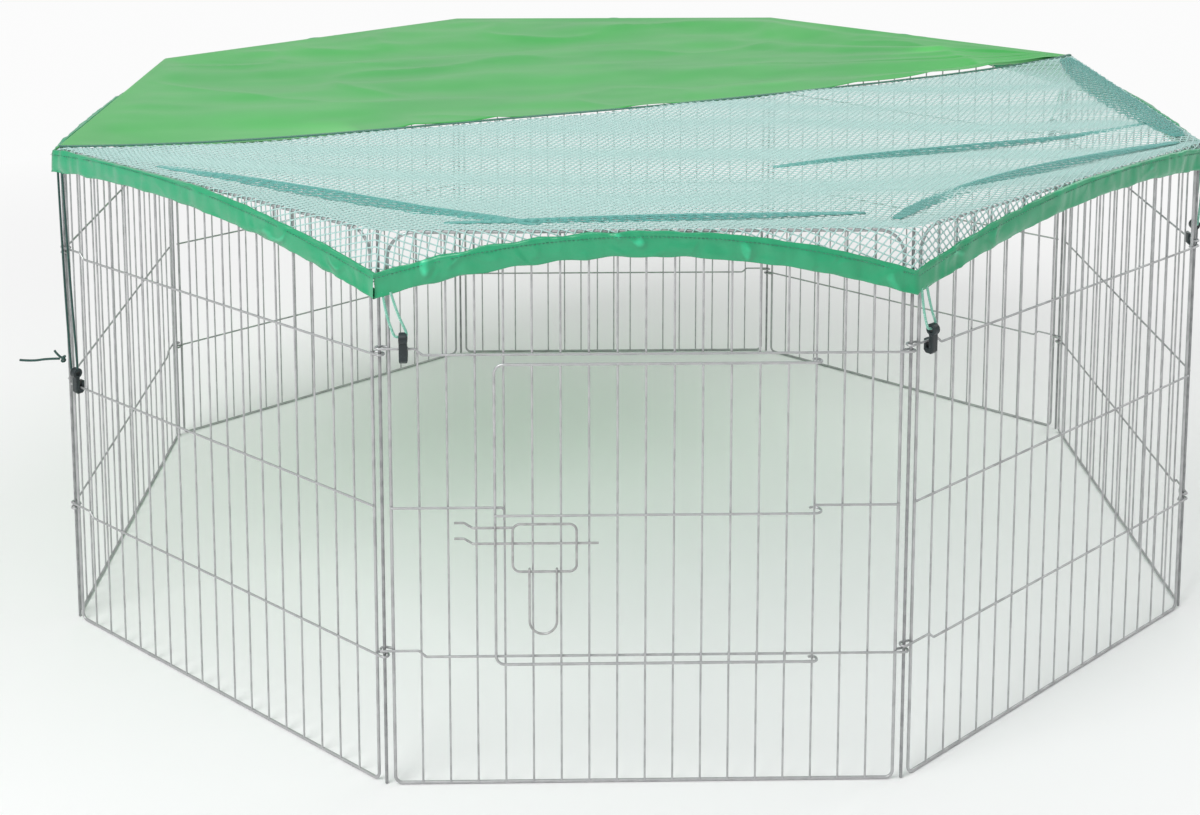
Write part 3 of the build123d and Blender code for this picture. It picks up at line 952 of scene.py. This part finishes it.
@dataclass
class ShadeCloth:
    """The cloth half of the cover."""

    pattern: ClothPattern
    finishes: Finishes
    crease_height: float = 0.0085
    thickness: float = 0.0005
    fan_reach: float = 0.9
    crease_fade: float = 0.05
    ripple_scale: float = 26.0
    ripple_height: float = 0.0016

    def crease(self, point: Vector) -> float:
        """Return how far creases lift the cloth at a point of the pattern.

        Long folds and ridges run along the seam, and a fan of folds spreads from the seam's first corner.

        Args:
            point: The point, on the flat pattern.

        Returns:
            The lift.
        """
        direction = (self.pattern.seam(1.0) - self.pattern.seam(0.0)).normalized()
        across = Vector((-direction.y, direction.x, 0))
        along = point.dot(direction)
        away = point.dot(across)
        long_folds = noise.noise(Vector((along * 2.2, away * 11.0, 0.3)))
        fine_folds = noise.noise(Vector((along * 9.0 + away * 5.0, away * 24.0, 7.1)))
        ridges = 1 - abs(noise.noise(Vector((along * 4.0, away * 7.0 + along * 2.0, 2.7)))) * 2
        spoke = point - self.pattern.seam(0.0)
        fan = noise.noise(Vector((math.atan2(spoke.y, spoke.x) * 9.0, spoke.length * 1.1, 4.4)))
        near = 1 - smooth_step(spoke.length / self.fan_reach)
        spread = 1.1 * fan * (0.35 + 0.65 * near)
        return self.crease_height * (0.8 * long_folds + 0.25 * fine_folds + 0.5 * ridges**3 + spread)

    def build(self) -> bpy.types.Object:
        """Build the cloth.

        Returns:
            The piece.
        """
        shape = self.pattern.shape
        rows = []
        for flat_row in self.pattern.flat_rows():
            row = []
            for flat in flat_row:
                index, out, _ = shape.nearest_panel(flat)
                point = shape.fold(flat)
                if out < 0:
                    point.z += self.crease(flat) * smooth_step(-out / self.crease_fade)
                else:
                    scaled = flat * self.ripple_scale
                    ripple = self.ripple_height * noise.noise(Vector((scaled.x, scaled.y, 1.0)))
                    point += shape.outwards(index) * ripple * smooth_step((out - 0.008) / 0.02)
                row.append(point)
            rows.append(row)
        piece = new_piece("shade_cloth", grid_mesh(rows), self.finishes.shade)
        shell = piece.modifiers.new("cloth", "SOLIDIFY")
        shell.thickness = self.thickness
        shell.offset = 1.0
        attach(piece, COVER_BODY)
        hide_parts("shade_sheet", "shade_skirt")
        return piece


@dataclass
class NetCloth:
    """The net half of the cover: knotted diamonds of thin twine."""

    pattern: ClothPattern
    finishes: Finishes
    cell: float = 0.008
    twine: float = 0.0016
    knot: float = 0.0017
    step: float = 0.004
    long_step: int = 4
    twine_sides: int = 5
    slant_degrees: float = 42.0
    crease_height: float = 0.006
    reach: float = 0.9
    border_band: float = 0.018

    def lifted(self, flat: Vector, out: float) -> Vector:
        """Return a twine's point: the folded pattern with the net's own slack waves."""
        point = self.pattern.shape.fold(flat)
        if out < 0:
            wave = noise.noise(Vector((flat.x * 3.0 + flat.y * 4.0, flat.y * 9.0, 3.3)))
            point.z += self.crease_height * wave * smooth_step(-out / 0.06) - 0.0002
        return point

    def inside(self, flat: Vector, normal: Vector, offset: float) -> tuple[bool, float]:
        """Say whether a point is on this half's pattern, and how far outside the rails it is."""
        if flat.dot(normal) < offset:
            return False, 0.0
        index, out, place = self.pattern.shape.nearest_panel(flat)
        return out <= self.pattern.shape.drop(index, place), out

    def strands(self) -> tuple[list[list[Vector]], list[Vector]]:
        """Lay the two families of slanting twines over the pattern.

        Returns:
            The centreline of each twine, and the knots where they cross.
        """
        first, last = self.pattern.seam(0.0), self.pattern.seam(1.0)
        seam = (last - first).normalized()
        normal = Vector((seam.y, -seam.x, 0))
        middle = self.pattern.shape.corners[self.pattern.panels[2]]
        if middle.dot(normal) < first.dot(normal):
            normal = -normal
        offset = first.dot(normal) + 0.001
        slant = math.radians(self.slant_degrees)
        lines = []
        knots = []
        reach = self.reach
        count = int(reach / self.step)
        for side in (1, -1):
            direction = seam * math.cos(slant) + normal * side * math.sin(slant)
            across = Vector((-direction.y, direction.x, 0))
            for number in range(-int(reach / self.cell), int(reach / self.cell) + 1):
                run: list[Vector] = []
                since = 0
                for place in range(-count, count + 1):
                    flat = across * (number * self.cell) + direction * (place * self.step)
                    held, out = self.inside(flat, normal, offset)
                    if not held:
                        if len(run) > 1:
                            lines.append(run)
                        run = []
                        continue
                    since += 1
                    if not run or out > -self.border_band or since >= self.long_step:
                        run.append(self.lifted(flat, out))
                        since = 0
                if len(run) > 1:
                    lines.append(run)
        other = seam * math.cos(slant) - normal * math.sin(slant)
        rising = seam * math.cos(slant) + normal * math.sin(slant)
        gap = self.cell / math.sin(2 * slant)
        total = int(2 * reach / gap)
        for column in range(-total, total + 1):
            for row in range(-total, total + 1):
                flat = rising * (column * gap) + other * (row * gap)
                if abs(flat.x) > reach or abs(flat.y) > reach:
                    continue
                held, out = self.inside(flat, normal, offset)
                if held:
                    knots.append(self.lifted(flat, out))
        return lines, knots

    def build(self) -> bpy.types.Object:
        """Build the net.

        Returns:
            The piece.
        """
        lines, knots = self.strands()
        mesh = tube_mesh(lines, self.twine / 2, self.twine_sides)
        form = bmesh.new()
        form.from_mesh(mesh)
        turns = [Vector((0, 0, 1)), Vector((0, 0, -1))]
        turns += [Vector((math.cos(k * math.pi / 2), math.sin(k * math.pi / 2), 0)) for k in range(4)]
        for knot in knots:
            top, foot, *round_it = [form.verts.new(knot + turn * self.knot) for turn in turns]
            for number in range(4):
                after = round_it[(number + 1) % 4]
                form.faces.new((top, round_it[number], after))
                form.faces.new((foot, after, round_it[number]))
        form.to_mesh(mesh)
        form.free()
        piece = new_piece("net_cloth", mesh, self.finishes.net)
        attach(piece, COVER_BODY)
        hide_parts("net_sheet", "net_skirt")
        LOG.info("net: %d twines, %d knots", len(lines), len(knots))
        return piece


@dataclass
class NetFolds:
    """Slack of the net, pulled into long bunches that lie over it."""

    pattern: ClothPattern
    finishes: Finishes
    twines: int = 9
    twine: float = 0.0012
    twine_sides: int = 4
    step: float = 0.008
    lift: float = 0.0012
    ridge_height: float = 0.005

    def routes(self) -> list[tuple[Vector, Vector, Vector, float]]:
        """Return each bunch as a start, a middle and an end on the pattern, and its width."""
        shape = self.pattern.shape

        def spot(index: int, share: float, inwards: float) -> Vector:
            here = shape.corners[index].lerp(shape.corners[(index + 1) % 8], share)
            return here - shape.outwards(index) * inwards

        return [
            (spot(7, 0.3, 0.02), spot(7, 0.8, 0.09), spot(0, 0.3, 0.02), 0.034),
            (spot(0, 0.12, 0.03), spot(0, 0.5, 0.035), spot(0, 0.93, 0.07), 0.02),
            (spot(0, 0.98, 0.04), spot(1, 0.45, 0.11), spot(1, 0.97, 0.02), 0.03),
            (spot(0, 0.8, 0.3), spot(1, 0.4, 0.26), spot(2, 0.2, 0.03), 0.02),
            (spot(2, 0.06, 0.012), spot(2, 0.5, 0.035), spot(2, 0.97, 0.012), 0.045),
        ]

    def build(self) -> bpy.types.Object:
        """Build the bunches.

        Returns:
            The piece.
        """
        lines = []
        for start, middle, end, width in self.routes():
            length = (middle - start).length + (end - middle).length
            count = int(length / self.step)
            for twine in range(-self.twines, self.twines + 1):
                line = []
                for step in range(count + 1):
                    share = step / count
                    flat = start.lerp(middle, share).lerp(middle.lerp(end, share), share)
                    ahead = (middle - start).lerp(end - middle, share).normalized()
                    across = Vector((-ahead.y, ahead.x, 0))
                    narrow = 0.25 + 0.75 * math.sin(math.pi * share) ** 0.6
                    weave = math.sin(step * 1.35 + twine * 2.1) * 0.16
                    away = (twine / self.twines + weave) * width / 2 * narrow
                    point = self.pattern.shape.fold(flat + across * away)
                    ridge = math.cos(min(1.0, abs(away) / (width / 2)) * math.pi / 2)
                    point.z += self.lift + self.ridge_height * ridge * math.sin(math.pi * share)
                    line.append(point)
                lines.append(line)
        mesh = tube_mesh(lines, self.twine / 2, self.twine_sides)
        piece = new_piece("net_folds", mesh, self.finishes.bunch)
        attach(piece, COVER_BODY)
        return piece


@dataclass
class SeamTape:
    """Narrow tape that joins the two halves of the cover."""

    pattern: ClothPattern
    finishes: Finishes
    width: float = 0.009
    columns: int = 240
    thickness: float = 0.0008
    height: float = 0.0024

    def build(self) -> bpy.types.Object:
        """Build the tape.

        Returns:
            The piece.
        """
        first, last = self.pattern.seam(0.0), self.pattern.seam(1.0)
        seam = (last - first).normalized()
        normal = Vector((-seam.y, seam.x, 0))
        rows = []
        for column in range(self.columns + 1):
            flat = first.lerp(last, column / self.columns)
            row = []
            for side in (-1, -0.5, 0, 0.5, 1):
                wander = 0.0012 * noise.noise(Vector((column * 0.12, 0, 5.0)))
                spot = flat + normal * (side * self.width / 2 + wander)
                point = self.pattern.shape.fold(spot)
                point.z = self.pattern.shape.fold(flat).z + self.height - self.thickness * side * side
                row.append(point)
            rows.append(row)
        piece = new_piece("seam_tape", grid_mesh(rows), self.finishes.seam)
        shell = piece.modifiers.new("tape", "SOLIDIFY")
        shell.thickness = self.thickness
        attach(piece, COVER_BODY)
        return piece


@dataclass
class Hem:
    """Gathered tube of cloth round the cover's edge."""

    shape: CoverShape
    finishes: Finishes
    columns: int = 110
    section: int = 22
    squareness: float = 0.55
    slit: float = 0.12
    gathered_end: float = 0.16
    cut_slack: float = 1.02
    girth_share: float = 0.93

    def gather(self, index: int, place: float, angle: float) -> tuple[float, float]:
        """Return how far the gathers push a point of the hem out and up."""
        width = self.shape.width(index)
        near_corner = 1 - smooth_step(min(place, width - place) / self.gathered_end)
        around = index * 0.57 + place
        pleats = noise.noise(Vector((around * 95, angle * 0.5, 1.7)))
        broad = noise.noise(Vector((around * 27, angle * 0.9, 8.2)))
        strength = 0.0016 + 0.0018 * near_corner
        edge = noise.noise(Vector((around * 38, 0.0, 6.0)))
        return strength * pleats + 0.0018 * broad, 0.0022 * edge * math.sin(angle)

    def build(self) -> bpy.types.Object:
        """Build the hem.

        Returns:
            The piece.
        """
        rows = []
        for index in range(8):
            width = self.shape.width(index)
            for column in range(self.columns + (1 if index == 7 else 0)):
                place = width * column / self.columns
                foot = self.shape.foot(index, place)
                row = []
                for step in range(self.section + 1):
                    angle = math.pi + self.slit + (math.tau - 2 * self.slit) * step / self.section
                    deep, tall = math.cos(angle), math.sin(angle)
                    reach = math.copysign(abs(deep) ** self.squareness, deep)
                    lift = math.copysign(abs(tall) ** self.squareness, tall)
                    push, rise = self.gather(index, place, angle)
                    if deep < 0:
                        push = -0.2 * abs(push)
                    out = self.shape.hem_inner + self.shape.hem_thickness * (0.5 + 0.5 * reach) + push
                    height = foot + self.shape.hem_depth * (0.5 + 0.5 * lift) + rise
                    row.append(self.shape.on_panel(index, place, out, min(height, self.shape.top)))
                rows.append(row)
        piece = new_piece("cover_hem", grid_mesh(rows), self.finishes.hem)
        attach(piece, COVER_BODY)
        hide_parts("hem", "draw_cord")
        length = sum(self.shape.width(index) for index in range(8))
        return piece


@dataclass
class HemStitches:
    """Row of stitches along the hem."""

    shape: CoverShape
    finishes: Finishes
    pitch: float = 0.0045
    stitch: float = 0.003
    thread: float = 0.00035
    rise: float = 0.0225
    stand_off: float = 0.0004
    arch: float = 0.0007

    def build(self) -> bpy.types.Object:
        """Build the stitches.

        Returns:
            The piece.
        """
        lines = []
        outer = self.shape.hem_inner + self.shape.hem_thickness + self.stand_off
        for index in range(8):
            width = self.shape.width(index)
            for number in range(int(width / self.pitch)):
                start = number * self.pitch
                line = []
                for share in (0.0, 0.5, 1.0):
                    place = start + share * self.stitch
                    height = self.shape.foot(index, place) + self.rise
                    out = outer + self.arch * (share == 0.5)
                    line.append(self.shape.on_panel(index, place, out, height))
                lines.append(line)
        piece = new_piece("hem_stitches", tube_mesh(lines, self.thread, 4), self.finishes.seam)
        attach(piece, COVER_BODY)
        return piece


@dataclass
class CordLoops:
    """Elastic loops from the hem through the eyes of the hooks."""

    shape: CoverShape
    finishes: Finishes
    radius: float = 0.00145
    out: float = 0.0085
    eye_above_wire: float = 0.0216
    wire_heights: tuple[float, ...] = (0.494, 0.494, 0.494, 0.494, 0.494, 0.494, 0.494, 0.322)

    def curve(self, name: str, points: Sequence[Vector], material: bpy.types.Material) -> bpy.types.Object:
        """Make a round cord along a smooth line.

        Args:
            name: Name of the piece.
            points: Control points of the line.
            material: Its material.

        Returns:
            The piece.
        """
        line = bpy.data.curves.new(name, "CURVE")
        line.dimensions = "3D"
        spline = line.splines.new("NURBS")
        spline.points.add(len(points) - 1)
        for target, point in zip(spline.points, points):
            target.co = (*point, 1.0)
        spline.order_u = 3
        spline.use_endpoint_u = True
        line.resolution_u = 10
        line.bevel_depth = self.radius
        line.bevel_resolution = 4
        line.use_fill_caps = True
        made = bpy.data.objects.new(name, line)
        bpy.context.scene.collection.objects.link(made)
        made.data.materials.append(material)
        return made

    def build(self) -> list[bpy.types.Object]:
        """Build the eight loops.

        Returns:
            The pieces.
        """
        made = []
        for index, wire in enumerate(self.wire_heights):
            eye = wire + self.eye_above_wire
            top = self.shape.foot(index, 0.012) + 0.004
            middle = (eye + top) / 2
            material = self.finishes.dark_cord if index == 7 else self.finishes.loop_cord
            profile = [
                (0.008, top),
                (0.0115, middle),
                (0.0185, eye + 0.004),
                (0.0205, eye),
                (0.0315, eye),
                (0.0335, eye + 0.004),
                (0.0235, middle),
                (0.0165, top),
            ]
            points = [self.shape.on_panel(index, x, self.out, z) for x, z in profile]
            loop = self.curve(f"cord_loop_{index + 1}", points, material)
            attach(loop, COVER_BODY)
            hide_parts("cord_loops")
            made.append(loop)
        return made


@dataclass
class CordEnds:
    """Knot of the draw cord on its long loop, with a short end and a long free end."""

    loops: CordLoops
    shape: CoverShape
    finishes: Finishes
    knot_size: float = 0.0015
    knot_steps: int = 90
    knot_place: float = 0.0075
    knot_out: float = 0.014
    knot_height: float = 0.358
    knot_radius: float = 0.0045
    knot_lobe: float = 1.6
    knot_depth: float = 1.2
    knot_cord_radius: float = 0.0013
    knot_cord_sides: int = 10
    panel: int = 7
    tail_run: float = 0.017
    tail_drop: float = 0.003
    diameter: float = 0.003

    def build(self) -> bpy.types.Object:
        """Build the knot and both ends.

        Returns:
            The free end.
        """
        index = self.panel
        base = self.shape.corners[index] + self.shape.along(index) * self.knot_place
        centre = base + self.shape.outwards(index) * self.knot_out
        centre.z = self.knot_height
        line = []
        for step in range(self.knot_steps):
            turn = math.tau * step / self.knot_steps
            across = math.sin(turn) + self.knot_lobe * math.sin(2 * turn)
            tall = math.cos(turn) - self.knot_lobe * math.cos(2 * turn)
            deep = -self.knot_depth * math.sin(3 * turn)
            line.append(centre + Vector((deep, across, tall)) * self.knot_size)
        line.append(line[0])
        mesh = tube_mesh([line], self.knot_cord_radius, self.knot_cord_sides)
        knot = new_piece("draw_cord_knot", mesh, self.finishes.dark_cord)
        short_points = [centre, centre + Vector((-0.006, 0, 0.003)), centre + Vector((-0.011, 0, 0.011))]
        short = self.loops.curve("draw_cord_short_end", short_points, self.finishes.dark_cord)
        for piece in (knot, short):
            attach(piece, COVER_BODY)
        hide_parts("cord_knot")
        start = centre + Vector((-self.knot_radius, 0, 0))
        run, drop = self.tail_run, self.tail_drop
        points = [
            start,
            start + Vector((-run, 0, 0)),
            start + Vector((-2 * run, 0, -drop)),
            start + Vector((-3 * run, 0, -drop / 2)),
        ]
        tail = self.loops.curve("draw_cord_tail", points, self.finishes.dark_cord)
        tail.data.bevel_depth = self.diameter / 2
        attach(tail, COVER_BODY)
        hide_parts("cord_tail")
        return tail


@dataclass
class Studio:
    """Pale floor, soft light and the camera."""

    focal_length: float = 50.72
    sensor: float = 36.0
    view_shift: float = -0.388
    place: tuple[float, float, float] = (-0.081, -2.387, 1.1605)
    turn: float = 0.0182
    pitch: float = 0.1275
    floor_near: float = 0.9
    floor_far: float = 2.6
    floor_glow: float = 0.97
    floor_reach: float = 14.0
    seen_light: float = 0.42
    shed_light: float = 0.58

    def camera(self) -> None:
        """Make the camera at the photograph's place."""
        data = bpy.data.cameras.new("camera")
        data.lens = self.focal_length
        data.sensor_width = self.sensor
        data.shift_y = self.view_shift
        data.clip_start = 0.02
        camera = bpy.data.objects.new("camera", data)
        bpy.context.scene.collection.objects.link(camera)
        camera.location = self.place
        camera.rotation_euler = (math.pi / 2 - self.pitch, 0, -self.turn)
        bpy.context.scene.camera = camera

    def floor(self) -> None:
        """Make the floor, which fades to plain white for the camera far from the pen."""
        mesh = bpy.data.meshes.new("floor")
        reach = self.floor_reach
        corners = [(-reach, -reach, 0), (reach, -reach, 0), (reach, reach, 0), (-reach, reach, 0)]
        mesh.from_pydata(corners, [], [(0, 1, 2, 3)])
        floor = bpy.data.objects.new("floor", mesh)
        bpy.context.scene.collection.objects.link(floor)
        floor.location.z = -0.0002
        material = bpy.data.materials.new("floor")
        material.use_nodes = True
        shader = material.node_tree.nodes["Principled BSDF"]
        shader.inputs["Base Color"].default_value = (0.93, 0.93, 0.93, 1)
        shader.inputs["Roughness"].default_value = 0.9
        tree = NodeTree(material.node_tree)
        place = tree.node("ShaderNodeTexCoord").outputs["Object"]
        away = tree.node("ShaderNodeVectorMath", operation="LENGTH")
        tree.join(place, away.inputs[0])
        seen = tree.node("ShaderNodeLightPath").outputs["Is Camera Ray"]
        share = tree.spread(away.outputs["Value"], self.floor_near, self.floor_far)
        far = tree.maths("MULTIPLY", share, seen)
        glow = tree.node("ShaderNodeEmission")
        glow.inputs["Strength"].default_value = self.floor_glow
        blend = tree.node("ShaderNodeMixShader")
        tree.join(far, blend.inputs["Fac"])
        tree.join(shader.outputs["BSDF"], blend.inputs[1])
        tree.join(glow.outputs["Emission"], blend.inputs[2])
        tree.join(blend.outputs["Shader"], material.node_tree.nodes["Material Output"].inputs["Surface"])
        mesh.materials.append(material)

    def light(self) -> None:
        """Make the world's light and two soft lamps."""
        world = bpy.data.worlds.new("studio")
        bpy.context.scene.world = world
        world.use_nodes = True
        tree = NodeTree(world.node_tree)
        background = world.node_tree.nodes["Background"]
        path = tree.node("ShaderNodeLightPath")
        seen = tree.maths("MAXIMUM", path.outputs["Is Camera Ray"], path.outputs["Is Transmission Ray"])
        strength = tree.maths("ADD", tree.maths("MULTIPLY", seen, self.seen_light), self.shed_light)
        background.inputs["Color"].default_value = (1, 1, 1, 1)
        tree.join(strength, background.inputs["Strength"])
        for name, place, energy, size in (
            ("key", (-2.2, -2.6, 3.6), 120.0, 2.4),
            ("fill", (2.8, 1.6, 3.2), 45.0, 3.0),
        ):
            data = bpy.data.lights.new(name, "AREA")
            data.energy = energy
            data.size = size
            lamp = bpy.data.objects.new(name, data)
            bpy.context.scene.collection.objects.link(lamp)
            lamp.location = place
            lamp.rotation_euler = (Vector((0, 0, 0.3)) - Vector(place)).to_track_quat("-Z", "Y").to_euler()

    def build(self) -> None:
        """Make the camera, the floor and the lights."""
        self.camera()
        self.floor()
        self.light()
        bpy.context.scene.view_settings.view_transform = "Standard"


def main() -> None:
    """Build the run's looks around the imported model."""
    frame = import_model()
    finishes = Finishes()
    Studio().build()
    Wirework(finishes).dress(frame["nodes"])
    shape = CoverShape()
    shade_pattern = ClothPattern(shape, ClothHalf.SHADE)
    net_pattern = ClothPattern(shape, ClothHalf.NET)
    loops = CordLoops(shape, finishes)
    CordEnds(loops, shape, finishes).build()
    loops.build()
    LOG.info("cord loops and ends")
    seam = SeamTape(shade_pattern, finishes).build()
    shade = ShadeCloth(shade_pattern, finishes).build()
    area = shade_pattern.flat_area()
    shade_pattern.flat_size()
    LOG.info("shade cloth: %.3f square metres", area)
    folds = NetFolds(net_pattern, finishes).build()
    net = NetCloth(net_pattern, finishes).build()
    area = net_pattern.flat_area()
    net_pattern.flat_size()
    LOG.info("net: %.3f square metres", area)
    Hem(shape, finishes).build()
    HemStitches(shape, finishes).build()
    LOG.info("hem")


if __name__ == "__main__":
    main()
